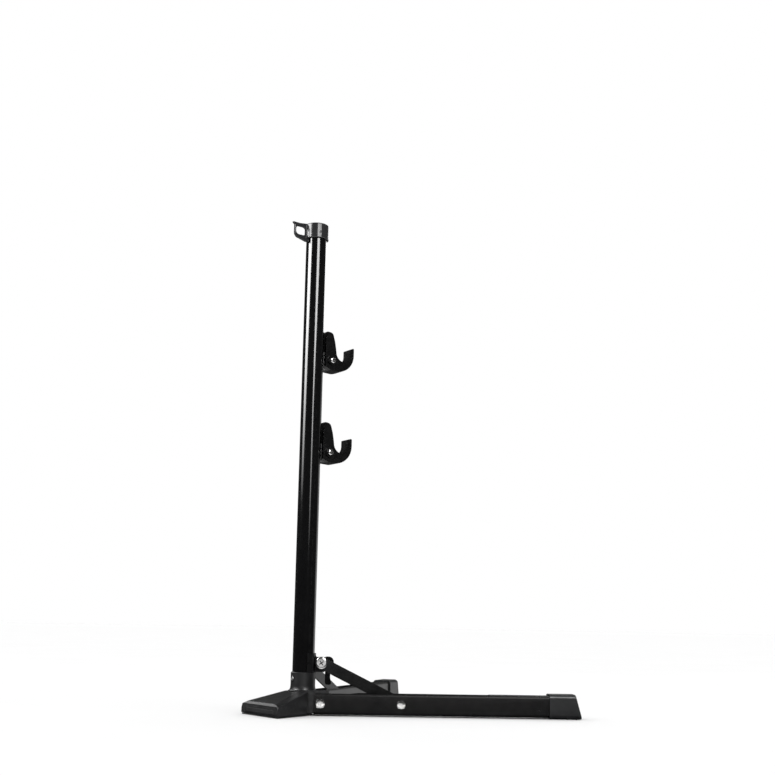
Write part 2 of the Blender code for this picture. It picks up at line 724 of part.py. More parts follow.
def bend_bar(mesh, start, end, shift):
    """Bends a flat bar sideways between two places along it. Both its ends stay straight."""
    bm = bmesh.new()
    bm.from_mesh(mesh)
    for place in (start, end):
        geometry = list(bm.verts) + list(bm.edges) + list(bm.faces)
        bmesh.ops.bisect_plane(bm, geom=geometry, plane_co=(place, 0, 0), plane_no=(1, 0, 0))
    for vert in bm.verts:
        share = min(max((vert.co.x - start) / (end - start), 0), 1)
        vert.co.y += shift * share
    bm.to_mesh(mesh)
    bm.free()


def make_brace(side, word, pivot):
    """A flat bar that lies along the leg's inner wall at its foot and bends out to the runner's ear."""
    half = BRACE_WIDTH / 2
    inner = side * (BRACE_INNER - LEG_OFFSET)
    outer = inner + side * BRACE_THICKNESS
    brace = side_slab(word + "_brace", stadium(0, BRACE_LENGTH, half), inner, outer, "painted_steel", pivot)
    bend_bar(brace.data, BRACE_FLAT_END, BRACE_LENGTH - BRACE_FLAT_TOP, side * BRACE_OFFSET)
    for place, radius in ((0, LOWER_SCREW[0]), (BRACE_LENGTH, UPPER_SCREW[0])):
        start = (place, -LEG_WIDTH, 0)
        end = (place, LEG_WIDTH, 0)
        cut(brace, rod(f"{word}_brace_hole_{place:.2f}", start, end, radius + SCREW_GAP, None, pivot))
    seat = across_y(BRACE_LENGTH, outer + side * (BRACE_OFFSET + GAP), 0, side)
    pan_screw(word + "_brace_upper_screw", UPPER_SCREW, BRACE_THICKNESS + GAP, seat, pivot)


def make_lower_screw(side, word, pivot):
    half = LEG_WIDTH / 2 + GAP
    length = 2 * half + NUT_HEIGHT + SCREW_TIP
    turn = across_y(BRACE_REACH, side * half, 0, side)
    pan_screw(word + "_brace_lower_screw", LOWER_SCREW, length, turn, pivot)
    nut(word + "_brace_lower_nut", LOWER_SCREW[0], across_y(BRACE_REACH, -side * half, 0, -side), pivot)


def make_pivot_screws(leg_frames):
    for side, frame in leg_frames.items():
        outer = side * (LEG_OUTER + GAP)
        inner = side * (LEG_INNER - GAP)
        length = LEG_WIDTH + 2 * GAP + NUT_HEIGHT + SCREW_TIP
        turn = across_y(PIVOT_REACH, outer, PIVOT_HEIGHT, side)
        word = "left" if side > 0 else "right"
        pan_screw(word + "_leg_pivot_screw", PIVOT_SCREW, length, turn, frame)
        nut_turn = across_y(PIVOT_REACH, inner, PIVOT_HEIGHT, -side)
        nut(word + "_leg_pivot_nut", PIVOT_SCREW[0], nut_turn, frame)


def make_ear_nut(side, word, frame):
    """The nut on the inside of an ear, with the tip of the brace's upper screw."""
    seat = side * (EAR_INNER - GAP)
    ear_nut = nut(word + "_brace_upper_nut", None, across_y(PIVOT_REACH, seat, UPPER_PIVOT_Z, -side), frame)
    start = (PIVOT_REACH, seat - side * NUT_HEIGHT / 2, UPPER_PIVOT_Z)
    end = (PIVOT_REACH, seat - side * (NUT_HEIGHT + SCREW_TIP), UPPER_PIVOT_Z)
    join(ear_nut, rod(word + "_upper_screw_tip", start, end, UPPER_SCREW[0], None, frame))


def make_runner(runner, ear_frames):
    """A half sleeve on the front of the column, with an ear beside each brace and two cheeks for the cam."""
    outer = COLUMN_RADIUS + GAP + RUNNER_WALL
    body = rod("runner", (0, 0, RUNNER_BOTTOM), (0, 0, RUNNER_TOP), outer, "black_plastic", runner, sides=48)
    for side, frame in ear_frames.items():
        word = "left" if side > 0 else "right"
        end = PIVOT_REACH + EAR_REACH
        shoulder = UPPER_PIVOT_Z + EAR_REACH
        outline = [
            (0, RUNNER_BOTTOM),
            (end - EAR_CHAMFER, RUNNER_BOTTOM),
            (end, RUNNER_BOTTOM + EAR_CHAMFER),
            (end, shoulder - EAR_CHAMFER),
            (end - EAR_CHAMFER, shoulder),
            (EAR_SHOULDER + EAR_SLOPE, shoulder),
            (EAR_SHOULDER, RUNNER_TOP),
            (0, RUNNER_TOP),
        ]
        join(body, side_slab(word + "_ear", outline, side * EAR_INNER, side * EAR_OUTER, None, frame))
        make_ear_nut(side, word, frame)
    room = LEVER_THICKNESS / 2 + GAP
    cheek = [(COLUMN_RADIUS, CAM_PIN_Z + CHEEK_RADIUS), (COLUMN_RADIUS, CAM_PIN_Z - CHEEK_RADIUS)]
    cheek += arc((CAM_PIN_X, CAM_PIN_Z), CHEEK_RADIUS, -90, 90, 8)
    for side in (-1, 1):
        inside = side * room
        outside = side * (room + CHEEK_THICKNESS)
        join(body, side_slab(f"cam_cheek_{side}", cheek, inside, outside, None, runner))
    bore = rod("runner_bore", (0, 0, 0), (0, 0, RUNNER_TOP * 2), SLEEVE, None, runner, sides=48)
    back = box("runner_back", (-BEYOND, -BEYOND, 0), (RUNNER_BACK, BEYOND, RUNNER_TOP * 2), None, runner)
    low = (0, -room, CAM_PIN_Z - SHOE_HALF_HEIGHT - GAP)
    high = (CAM_PIN_X + CAM_RADIUS, room, CAM_PIN_Z + SHOE_HALF_HEIGHT + GAP)
    window = box("shoe_window", low, high, None, runner)
    start = Vector((CAM_PIN_X, -room - CHEEK_THICKNESS * 2, CAM_PIN_Z))
    end = Vector((CAM_PIN_X, room + CHEEK_THICKNESS * 2, CAM_PIN_Z))
    pin = rod("cam_pin_hole", start, end, CAM_PIN_RADIUS + SCREW_GAP, None, runner)
    cut(body, bore, back, window, pin)
    ends = room + CHEEK_THICKNESS + 2 * GAP
    profile = [
        (0, ends + PIN_HEAD[1]),
        (PIN_HEAD[0] * PIN_CROWN, ends + PIN_HEAD[1]),
        (PIN_HEAD[0], ends + PIN_HEAD[1] / 2),
        (PIN_HEAD[0], ends),
        (CAM_PIN_RADIUS, ends),
        (CAM_PIN_RADIUS, -ends),
        (PIN_HEAD[0], -ends),
        (PIN_HEAD[0], -ends - PIN_HEAD[1] / 2),
        (PIN_HEAD[0] * PIN_CROWN, -ends - PIN_HEAD[1]),
        (0, -ends - PIN_HEAD[1]),
    ]
    turned("cam_pin", profile, "bright_steel", runner, across_y(CAM_PIN_X, 0, CAM_PIN_Z, 1), SMALL_ROUND)
    low = (SLEEVE, -LEVER_THICKNESS / 2, CAM_PIN_Z - SHOE_HALF_HEIGHT)
    high = (CAM_PIN_X - CAM_RADIUS - GAP, LEVER_THICKNESS / 2, CAM_PIN_Z + SHOE_HALF_HEIGHT)
    box("clamp_shoe", low, high, "plain_steel", runner)


def make_lever(pivot):
    """The lever of the cam that locks the runner: a round head on the pin and a tail that hangs down."""
    half = LEVER_DEPTH / 2
    bottom = LEVER_BOTTOM - CAM_PIN_Z
    joined = math.sqrt(CAM_RADIUS**2 - half**2)
    turn = math.degrees(math.atan2(-joined, half))
    outline = arc((0, 0), CAM_RADIUS, turn, -180 - turn + 360, 18)
    outline += [(-half, bottom + LEVER_TOE * TOE_BACK)]
    outline += arc((LEVER_TOE - half, bottom + LEVER_TOE), LEVER_TOE, 180, 360, 8)
    outline += [(half, bottom + LEVER_TOE * TOE_FRONT)]
    thick = LEVER_THICKNESS / 2
    lever = side_slab("cam_lever", outline, -thick, thick, "black_plastic", pivot)
    start = (0, -CAM_RADIUS, 0)
    end = (0, CAM_RADIUS, 0)
    cut(lever, rod("cam_lever_bore", start, end, CAM_PIN_RADIUS + SCREW_GAP, None, pivot))


def hook_outline():
    """The J of a hook, from the screw's place: back, foot, lip and the cradle between them."""
    back = COLUMN_RADIUS - HOOK_SCREW_X
    cradle = (CRADLE_X - HOOK_SCREW_X, CRADLE_Z)
    outer = []
    for step in range(HOOK_STEPS + 1):
        part = step / HOOK_STEPS
        radius = HOOK_LIP_RADIUS + (HOOK_FOOT_RADIUS - HOOK_LIP_RADIUS) * (1 - part) ** HOOK_TAPER
        outer += arc(cradle, radius, -HOOK_SWEEP * (1 - part), 0, 1)[:1]
    lip = (cradle[0] + (CRADLE_RADIUS + HOOK_LIP_RADIUS) / 2, HOOK_LIP_TOP)
    lip_radius = (HOOK_LIP_RADIUS - CRADLE_RADIUS) / 2
    top = (HOOK_BACK_MIDDLE, HOOK_BACK_TOP - HOOK_BACK_ROUND)
    return (
        [(back, -HOOK_HEEL), (HOOK_BACK_MIDDLE, -HOOK_HEEL_LOW)]
        + outer
        + arc(lip, lip_radius, 0, 180, 4)
        + arc(cradle, CRADLE_RADIUS, 0, -180, 14)
        + list(HOOK_FRONT)
        + arc(top, HOOK_BACK_ROUND, 15, 150, 5)
        + [(back, HOOK_BACK_CORNER)]
    )


def make_hook(word, height, carriage):
    middle = Vector((HOOK_SCREW_X, 0, height))
    frame = empty(word + "_hook_place", carriage, middle)
    half = HOOK_WIDTH / 2
    hook = side_slab(word + "_hook", hook_outline(), -half, half, "rubber", frame)
    arch = [(half, -HOOK_ARCH), (half, HOOK_ARCH)]
    arch += arc((0, HOOK_ARCH), half, 0, 180, 10)[1:] + [(-half, -HOOK_ARCH)]
    front = long_bar(word + "_hook_front", arch, -HOOK_ARCH, CRADLE_X, None, frame)
    boolean(hook, front, "INTERSECT")
    soften(hook, HOOK_EDGE)
    boss = half + HOOK_BOSS_HEIGHT
    join(hook, rod(word + "_hook_boss", (0, -boss, 0), (0, boss, 0), HOOK_BOSS_RADIUS, None, frame, sides=24))
    back = COLUMN_RADIUS + HOOK_BACK_GAP
    axis = -HOOK_SCREW_X
    cut(hook, rod(word + "_hook_hollow", (axis, 0, -BEYOND), (axis, 0, BEYOND), back, None, frame, sides=48))
    lug_low = (axis, -LUG_WIDTH / 2 - GAP, -LUG_HALF_HEIGHT - GAP)
    lug_high = (LUG_REACH - HOOK_SCREW_X + GAP, LUG_WIDTH / 2 + GAP, LUG_HALF_HEIGHT + GAP)
    cut(hook, box(word + "_lug_room", lug_low, lug_high, None, frame))
    bore = HOOK_SCREW[0] + SCREW_GAP
    cut(hook, rod(word + "_hook_hole", (0, -BEYOND, 0), (0, BEYOND, 0), bore, None, frame))
    seat = boss + GAP
    length = 2 * seat + NUT_HEIGHT + SCREW_TIP
    pan_screw(word + "_hook_screw", HOOK_SCREW, length, across_y(0, -seat, 0, -1), frame)
    nut(word + "_hook_nut", HOOK_SCREW[0], across_y(0, seat, 0, 1), frame)


def make_carriage(carriage):
    bottom = HOOK_HEIGHTS[0] - CARRIAGE_OVERHANG
    top = HOOK_HEIGHTS[1] + CARRIAGE_OVERHANG
    lows = (bottom + CARRIAGE_SHOULDER, top - CARRIAGE_SHOULDER - GUIDE_HEIGHT - 2 * GAP)
    profile = [(0, top)]
    for low in reversed(lows):
        profile += [
            (CARRIAGE_RADIUS, profile[-1][1]),
            (CARRIAGE_RADIUS, low + GUIDE_HEIGHT + 2 * GAP),
            (GROOVE_RADIUS, low + GUIDE_HEIGHT + 2 * GAP),
            (GROOVE_RADIUS, low),
            (CARRIAGE_RADIUS, low),
        ]
    profile += [(CARRIAGE_RADIUS, bottom), (0, bottom)]
    body = turned("carriage", profile, "plain_steel", carriage)
    for number, height in enumerate(HOOK_HEIGHTS):
        low = (0, -LUG_WIDTH / 2, height - LUG_HALF_HEIGHT)
        high = (LUG_REACH, LUG_WIDTH / 2, height + LUG_HALF_HEIGHT)
        join(body, box(f"carriage_lug_{number}", low, high, None, carriage))
    for number, height in enumerate(HOOK_HEIGHTS):
        start = (HOOK_SCREW_X, -LUG_WIDTH, height)
        end = (HOOK_SCREW_X, LUG_WIDTH, height)
        cut(body, rod(f"carriage_hole_{number}", start, end, HOOK_SCREW[0] + SCREW_GAP, None, carriage))
    start = (0, 0, bottom - ROD_SEAT)
    end = (0, 0, bottom + ROD_SEAT)
    cut(body, rod("rod_seat", start, end, ROD_RADIUS + GAP, None, carriage))
    outer = COLUMN_BORE - GAP
    inner = GROOVE_RADIUS + GAP
    for word, groove in zip(("lower", "upper"), lows):
        low = groove + GAP
        profile = [(outer, low + GUIDE_HEIGHT), (outer, low), (inner, low), (inner, low + GUIDE_HEIGHT)]
        turned(word + "_guide_ring", profile, "black_plastic", carriage)
    strut_top = COLUMN_FOOT + STRUT_LENGTH
    rod_end = strut_top - GLAND_HEIGHT - PISTON_HEIGHT - LIFT_UP - PISTON_SPARE
    rod("strut_rod", (0, 0, rod_end), (0, 0, bottom + ROD_SEAT - GAP), ROD_RADIUS, "bright_steel", carriage)
    piston = STRUT_RADIUS - STRUT_WALL - GAP
    profile = [
        (piston, rod_end + PISTON_HEIGHT),
        (piston, rod_end),
        (ROD_RADIUS + GAP, rod_end),
        (ROD_RADIUS + GAP, rod_end + PISTON_HEIGHT),
    ]
    turned("strut_piston", profile, "plain_steel", carriage)


def make_strut(stand):
    bottom = COLUMN_FOOT
    top = bottom + STRUT_LENGTH
    bore = STRUT_RADIUS - STRUT_WALL
    profile = [
        (STRUT_RADIUS, top),
        (STRUT_RADIUS, bottom),
        (0, bottom),
        (0, bottom + STRUT_WALL * 2),
        (bore, bottom + STRUT_WALL * 2),
        (bore, top),
    ]
    turned("strut_cylinder", profile, "painted_steel", stand)
    low = top - GLAND_HEIGHT
    ring = [
        (bore - GAP, top),
        (bore - GAP, low),
        (ROD_RADIUS + GAP, low),
        (ROD_RADIUS + GAP, top),
    ]
    turned("strut_gland", ring, "black_plastic", stand)


def build():
    stand = empty("bike_stand", None)
    make_column(stand)
    make_cap(stand)
    frames = {
        -1: empty("right_leg_frame", stand, rotation=(0, 0, -LEG_ANGLE)),
        1: empty("left_leg_frame", stand, rotation=(0, 0, LEG_ANGLE)),
    }
    make_base(stand, frames)
    make_pad(stand)
    make_pivot_screws(frames)
    for side, frame in frames.items():
        word = "left" if side > 0 else "right"
        leg_pivot = empty(word + "_leg_pivot", frame, (PIVOT_REACH, side * LEG_OFFSET, PIVOT_HEIGHT))
        make_leg(side, word, leg_pivot)
        make_leg_end(word, leg_pivot)
        make_lower_screw(side, word, leg_pivot)
        tilt = (0, -BRACE_TILT, 0)
        brace_pivot = empty(word + "_brace_pivot", leg_pivot, (BRACE_REACH, 0, 0), tilt)
        make_brace(side, word, brace_pivot)
    runner = empty("runner_slide", stand)
    ears = {
        -1: empty("right_ear_frame", runner, rotation=(0, 0, -LEG_ANGLE)),
        1: empty("left_ear_frame", runner, rotation=(0, 0, LEG_ANGLE)),
    }
    make_runner(runner, ears)
    make_lever(empty("cam_pivot", runner, (CAM_PIN_X, 0, CAM_PIN_Z)))
    carriage = empty("carriage_slide", stand)
    make_carriage(carriage)
    for word, height in zip(("lower", "upper"), HOOK_HEIGHTS):
        make_hook(word, height, carriage)
    make_strut(stand)


clear_scene()
make_materials()
parts = new_collection("bike_stand")
cutters = new_collection("cutters")
cutters.hide_render = True
build()
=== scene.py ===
"""The looks of a folding bicycle lift stand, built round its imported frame.

Metres, +Z up, the column's axis on the origin and the floor at z = 0. The hooks point along +X, the foot
along -X, and the right leg lies on -Y.
"""

import json
import math
from collections import namedtuple

import bmesh
import bpy
from mathutils import Matrix, Vector

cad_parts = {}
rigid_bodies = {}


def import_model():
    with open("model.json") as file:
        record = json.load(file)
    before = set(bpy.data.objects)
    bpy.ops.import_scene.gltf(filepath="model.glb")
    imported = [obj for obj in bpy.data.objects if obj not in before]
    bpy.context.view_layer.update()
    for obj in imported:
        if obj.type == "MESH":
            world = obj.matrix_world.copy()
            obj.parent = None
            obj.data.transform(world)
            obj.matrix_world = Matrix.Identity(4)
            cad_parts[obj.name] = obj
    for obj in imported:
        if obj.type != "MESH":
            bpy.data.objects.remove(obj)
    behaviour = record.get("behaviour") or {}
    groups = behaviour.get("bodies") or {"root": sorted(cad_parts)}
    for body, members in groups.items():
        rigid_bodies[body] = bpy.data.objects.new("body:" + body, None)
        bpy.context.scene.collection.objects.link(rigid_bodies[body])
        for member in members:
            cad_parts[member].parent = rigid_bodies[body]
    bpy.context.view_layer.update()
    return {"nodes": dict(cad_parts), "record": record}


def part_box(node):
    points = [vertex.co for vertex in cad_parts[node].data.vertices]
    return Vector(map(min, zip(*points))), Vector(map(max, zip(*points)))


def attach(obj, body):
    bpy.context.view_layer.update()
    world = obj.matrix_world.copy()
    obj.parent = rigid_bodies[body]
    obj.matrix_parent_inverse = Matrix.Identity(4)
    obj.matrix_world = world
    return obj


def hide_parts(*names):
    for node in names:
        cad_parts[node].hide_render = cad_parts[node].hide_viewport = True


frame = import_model()

# The photograph's camera
IMAGE_SIZE = 775
FOCAL_PIXELS = 1131.9
SENSOR_WIDTH = 36.0
CAMERA_PLACE = (-0.9824, -1.5912, 0.1421)
CAMERA_HEADING = math.radians(54.41)
CAMERA_PITCH = math.radians(11.83)
CAMERA_ROLL = math.radians(0.967)
CLIP_START = 0.05

# Sizes and places of the fasteners, as in the frame
CLEARANCE = 0.0003
LEG_ANGLE = math.radians(34.2)
LEG_OFFSET = 0.0100
LEG_WIDTH = 0.0300
EAR_SCREW_SEAT = 0.0082
EAR_SCREW_LENGTH = 0.0027
EAR_NUT_SEAT = 0.0017
PIVOT_REACH = 0.0290
PIVOT_HEIGHT = 0.0186
BRACE_REACH = 0.1275
BRACE_RISE = 0.0619
HOOK_SCREW_X = 0.0305
HOOK_SEAT = 0.0157
NUT_RADIUS = 0.0060
NUT_HEIGHT = 0.0038
SCREW_TIP = 0.0010

Screw = namedtuple("Screw", "shank head height squareness dish")
PIVOT_SCREW = Screw(shank=0.0040, head=0.0080, height=0.0030, squareness=2.2, dish=0.0)
LOWER_SCREW = Screw(shank=0.0035, head=0.0071, height=0.0028, squareness=2.2, dish=0.0)
UPPER_SCREW = Screw(shank=0.0037, head=0.0097, height=0.0034, squareness=3.4, dish=0.0005)
HOOK_SCREW = Screw(shank=0.0030, head=0.0052, height=0.0028, squareness=2.6, dish=0.0)

# A screw's head. The lip and the radii are shares of its radius, and the depths are shares of its height
HEAD_STEPS = 14
HEAD_LIP = 0.04
DISH_RADIUS = 0.66
DISH_POWER = 4
CROSS_RADIUS = 0.56
CROSS_DEPTH = 0.62
CROSS_TURN = math.radians(36)
# The cross is painted dark, as shade, within this share of the radius and deeper than this share of the
# height
CROSS_SHADE_RADIUS = 0.62
CROSS_SHADE_DEPTH = 0.08

# An arm of the cross recess: length and width at its foot and at its mouth, as shares of the recess's radius
CROSS_FOOT = (0.90, 0.24)
CROSS_MOUTH = (2.00, 0.36)

# A screw's thread, with the radii of its roots and of its tip as shares of the shank's
THREAD_PITCH = 0.0008
THREAD_ROOT = 0.88
TIP_RADIUS = 0.80

# A nut with its nylon collar: shares of its sizes, with the collar's gap and the edges' rounding in metres
COLLAR_HEIGHT = 0.26
COLLAR_RADIUS = 0.93
COLLAR_ROUND = 0.40
COLLAR_GAP = 0.00005
FACE_RADIUS = 0.96
CHAMFER_RISE = 0.60
NUT_EDGE = 0.00015

# Widths of the rounded edges
FINE_EDGE = 0.0002
METAL_EDGE = 0.0003
TUBE_EDGE = 0.0004
MOULDED_EDGE = 0.0005
RUBBER_EDGE = 0.0006
HOOK_EDGE = 0.0007

# Mesh tolerances, and how many steps a turned piece has
MERGE = 0.000002
FLAT = math.radians(0.6)
EDGE_ANGLE = math.radians(28)
SCREW_EDGE_ANGLE = math.radians(40)
TURNS = 64
NUT_TURNS = 48
BORE_TURNS = 32

# A noise's middle range, and how much finer the gloss and the wear are than the patches of colour
NOISE_ROUGHNESS = 0.55
NOISE_LOW = 0.35
NOISE_HIGH = 0.65
GLOSS_SCALE = 4.0
WEAR_SCALE = 9.0

# Wear shows where its noise is over the first of these, and grows with pointiness between the others
WEAR_LOW = 0.45
SHARP_LOW = 0.53
SHARP_HIGH = 0.62

# Brightness of the studio on matt surfaces, and of the room, a low wall and the ground in reflections
STUDIO = 1.2
ROOM = 0.045
WALL = 0.75
WALL_TURN = math.radians(40)
WALL_DIP = math.radians(6)
WALL_SPREAD = (math.radians(10), math.radians(26))
GROUND = 1.1
GROUND_SPREAD = (math.radians(40), math.radians(66))

# The floor is painted black, as shade, in a reflection from nearer than this, and otherwise the reflection
# looks through it
NEAR_FLOOR = 0.016
FLOOR_HALF = 40.0
FLOOR_PATCH = 3.0
FLOOR_DARK = (0.86, 0.86, 0.86)
FLOOR_LIGHT = (0.90, 0.90, 0.90)
FLOOR_ROUGHNESS = 0.9
FLOOR_SPECULAR = 0.1

# Up to these shares of their height the soft boxes grow brighter and wider
BRIGHT_FROM = 0.34
WIDE_FROM = 0.45

record = frame["record"]
BODY_OF = {node: body for body, nodes in record["behaviour"]["bodies"].items() for node in nodes}
UPPER_Z = PIVOT_HEIGHT + BRACE_RISE
LEG_OUTER = LEG_OFFSET + LEG_WIDTH / 2
LEG_INNER = LEG_OFFSET - LEG_WIDTH / 2

FINISHES = {
    "gloss_paint": dict(
        dark=(0.0020, 0.0020, 0.0022),
        light=(0.0034, 0.0034, 0.0037),
        roughness=(0.10, 0.13),
        patch=14.0,
        grain=420.0,
        bump=0.000002,
        coat=0.4,
        coat_roughness=0.06,
        wear=(0.02, 0.02, 0.02),
    ),
    "satin_paint": dict(
        dark=(0.0046, 0.0046, 0.0050),
        light=(0.0072, 0.0070, 0.0070),
        roughness=(0.22, 0.27),
        patch=22.0,
        grain=1100.0,
        bump=0.000005,
        wear=(0.03, 0.03, 0.03),
    ),
    "moulded_plastic": dict(
        dark=(0.0095, 0.0098, 0.0106),
        light=(0.0140, 0.0144, 0.0152),
        roughness=(0.32, 0.40),
        patch=26.0,
        grain=2200.0,
        bump=0.000018,
        wear=(0.05, 0.05, 0.052),
    ),
    "dark_plastic": dict(
        dark=(0.0034, 0.0034, 0.0037),
        light=(0.0056, 0.0056, 0.0060),
        roughness=(0.26, 0.34),
        patch=32.0,
        grain=2200.0,
        bump=0.000012,
        wear=(0.03, 0.03, 0.03),
    ),
    "cap_plastic": dict(
        dark=(0.0190, 0.0192, 0.0204),
        light=(0.0270, 0.0272, 0.0286),
        roughness=(0.21, 0.23),
        patch=30.0,
        grain=1800.0,
        bump=0.0000006,
        wear=(0.10, 0.10, 0.105),
        wear_amount=0.0,
    ),
    "grey_rubber": dict(
        dark=(0.0125, 0.0130, 0.0142),
        light=(0.0175, 0.0180, 0.0194),
        roughness=(0.52, 0.66),
        patch=34.0,
        grain=1700.0,
        bump=0.00004,
        wear=(0.07, 0.07, 0.07),
        wear_roughness=0.8,
        specular=0.4,
    ),
    "end_rubber": dict(
        dark=(0.0115, 0.0120, 0.0132),
        light=(0.0160, 0.0165, 0.0178),
        roughness=(0.30, 0.38),
        patch=34.0,
        grain=1700.0,
        bump=0.00001,
        wear=(0.06, 0.06, 0.06),
    ),
    "hook_rubber": dict(
        dark=(0.0020, 0.0020, 0.0022),
        light=(0.0036, 0.0036, 0.0039),
        roughness=(0.22, 0.30),
        patch=40.0,
        grain=1500.0,
        bump=0.000012,
        wear=(0.02, 0.02, 0.02),
    ),
    "bright_steel": dict(
        dark=(0.68, 0.675, 0.67),
        light=(0.80, 0.795, 0.785),
        roughness=(0.16, 0.26),
        metallic=1.0,
        patch=160.0,
        grain=2600.0,
        bump=0.00001,
        wear=(0.9, 0.9, 0.9),
        wear_roughness=0.2,
    ),
    # The screws low on the legs, which the tall boxes leave out: bright steel a touch darker, as painted
    # shade
    "shaded_metal": dict(
        dark=(0.66, 0.655, 0.65),
        light=(0.78, 0.775, 0.765),
        roughness=(0.18, 0.28),
        metallic=1.0,
        patch=160.0,
        grain=2600.0,
        bump=0.00001,
        wear=(0.9, 0.9, 0.9),
        wear_roughness=0.2,
    ),
    # Painted shade: the dark walls and floor of a dished screw's cross
    "deep_recess": dict(
        dark=(0.012, 0.012, 0.012),
        light=(0.030, 0.029, 0.028),
        roughness=(0.45, 0.60),
        patch=160.0,
        grain=2600.0,
        bump=0.00001,
    ),
    "black_steel": dict(
        dark=(0.010, 0.010, 0.011),
        light=(0.016, 0.016, 0.017),
        roughness=(0.35, 0.45),
        patch=120.0,
        grain=1900.0,
        bump=0.00001,
    ),
    "zinc_steel": dict(
        dark=(0.42, 0.425, 0.43),
        light=(0.58, 0.58, 0.57),
        roughness=(0.30, 0.44),
        metallic=1.0,
        patch=90.0,
        grain=1900.0,
        bump=0.00002,
        wear=(0.75, 0.75, 0.74),
        wear_roughness=0.3,
    ),
    "turned_steel": dict(
        dark=(0.60, 0.60, 0.60),
        light=(0.72, 0.72, 0.71),
        roughness=(0.10, 0.18),
        metallic=1.0,
        patch=50.0,
        grain=300.0,
        bump=0.000004,
        brushed=(1.0, 1.0, 22.0),
    ),
    "nylon": dict(
        dark=(0.42, 0.44, 0.46),
        light=(0.52, 0.53, 0.54),
        roughness=(0.35, 0.50),
        patch=120.0,
        grain=1500.0,
        bump=0.00002,
        wear=(0.6, 0.6, 0.6),
    ),
}


def link(tree, start, end):
    tree.links.new(start, end)


def noise(tree, coordinates, scale, detail=3.0):
    node = tree.nodes.new("ShaderNodeTexNoise")
    node.inputs["Scale"].default_value = scale
    node.inputs["Detail"].default_value = detail
    node.inputs["Roughness"].default_value = NOISE_ROUGHNESS
    link(tree, coordinates, node.inputs["Vector"])
    return node.outputs["Fac"]


def spread(tree, value, low, high, start=NOISE_LOW, end=NOISE_HIGH):
    """Maps a stretch of a value, such as the middle of a noise, to a range."""
    node = tree.nodes.new("ShaderNodeMapRange")
    node.inputs["From Min"].default_value = start
    node.inputs["From Max"].default_value = end
    node.inputs["To Min"].default_value = low
    node.inputs["To Max"].default_value = high
    link(tree, value, node.inputs["Value"])
    return node.outputs["Result"]


def multiply(tree, first, second):
    node = tree.nodes.new("ShaderNodeMath")
    node.operation = "MULTIPLY"
    link(tree, first, node.inputs[0])
    link(tree, second, node.inputs[1])
    return node.outputs["Value"]


def less(tree, value, limit):
    """1 where a value is under a limit, which is a number or a socket, and 0 elsewhere."""
    node = tree.nodes.new("ShaderNodeMath")
    node.operation = "LESS_THAN"
    link(tree, value, node.inputs[0])
    if isinstance(limit, float):
        node.inputs[1].default_value = limit
    else:
        link(tree, limit, node.inputs[1])
    return node.outputs["Value"]


def add_share(tree, base, value, share):
    """Adds a share of a value to a base, which is a number or a socket."""
    node = tree.nodes.new("ShaderNodeMath")
    node.operation = "MULTIPLY_ADD"
    link(tree, value, node.inputs[0])
    node.inputs[1].default_value = share
    if isinstance(base, float):
        node.inputs[2].default_value = base
    else:
        link(tree, base, node.inputs[2])
    return node.outputs["Value"]


def blend_colour(tree, amount, first, second):
    """Mixes two colours, each a colour or a socket. The node's colours are its inputs 6 and 7."""
    node = tree.nodes.new("ShaderNodeMix")
    node.data_type = "RGBA"
    link(tree, amount, node.inputs["Factor"])
    for socket, colour in ((node.inputs[6], first), (node.inputs[7], second)):
        if isinstance(colour, tuple):
            socket.default_value = (*colour, 1.0)
        else:
            link(tree, colour, socket)
    return node.outputs[2]


def blend_value(tree, amount, first, second):
    """Mixes a socket towards a number. The node's values are its inputs 2 and 3."""
    node = tree.nodes.new("ShaderNodeMix")
    link(tree, amount, node.inputs["Factor"])
    link(tree, first, node.inputs[2])
    node.inputs[3].default_value = second
    return node.outputs[0]


def mix_shaders(tree, amount, first, second):
    node = tree.nodes.new("ShaderNodeMixShader")
    link(tree, amount, node.inputs["Fac"])
    link(tree, first.outputs[0], node.inputs[1])
    link(tree, second.outputs[0], node.inputs[2])
    return node


def finish(
    name,
    dark,
    light,
    roughness,
    patch,
    grain,
    bump,
    metallic=0.0,
    wear=(0.06, 0.06, 0.06),
    wear_amount=0.35,
    wear_roughness=0.5,
    coat=0.0,
    coat_roughness=0.05,
    specular=0.5,
    brushed=None,
):
    """A procedural surface: patchy colour and gloss, a fine grain in relief, and paler rubbed edges."""
    surface = bpy.data.materials.new(name)
    surface.use_nodes = True
    tree = surface.node_tree
    shader = tree.nodes["Principled BSDF"]
    place = tree.nodes.new("ShaderNodeTexCoord").outputs["Object"]
    colour = blend_colour(tree, spread(tree, noise(tree, place, patch), 0.0, 1.0), dark, light)
    gloss = spread(tree, noise(tree, place, patch * GLOSS_SCALE, detail=4.0), *roughness)
    sharpness = tree.nodes.new("ShaderNodeNewGeometry").outputs["Pointiness"]
    rubbed = spread(tree, noise(tree, place, patch * WEAR_SCALE), 0.0, wear_amount, WEAR_LOW)
    worn = multiply(tree, spread(tree, sharpness, 0.0, 1.0, SHARP_LOW, SHARP_HIGH), rubbed)
    link(tree, blend_colour(tree, worn, colour, wear), shader.inputs["Base Color"])
    link(tree, blend_value(tree, worn, gloss, wear_roughness), shader.inputs["Roughness"])
    shader.inputs["Metallic"].default_value = metallic
    shader.inputs["Coat Weight"].default_value = coat
    shader.inputs["Coat Roughness"].default_value = coat_roughness
    shader.inputs["Specular IOR Level"].default_value = specular
    if brushed:
        stretch = tree.nodes.new("ShaderNodeMapping")
        stretch.inputs["Scale"].default_value = brushed
        link(tree, place, stretch.inputs["Vector"])
        place = stretch.outputs["Vector"]
    relief = tree.nodes.new("ShaderNodeBump")
    relief.inputs["Strength"].default_value = 1.0
    relief.inputs["Distance"].default_value = bump
    link(tree, noise(tree, place, grain, detail=2.0), relief.inputs["Height"])
    link(tree, relief.outputs["Normal"], shader.inputs["Normal"])
    return surface


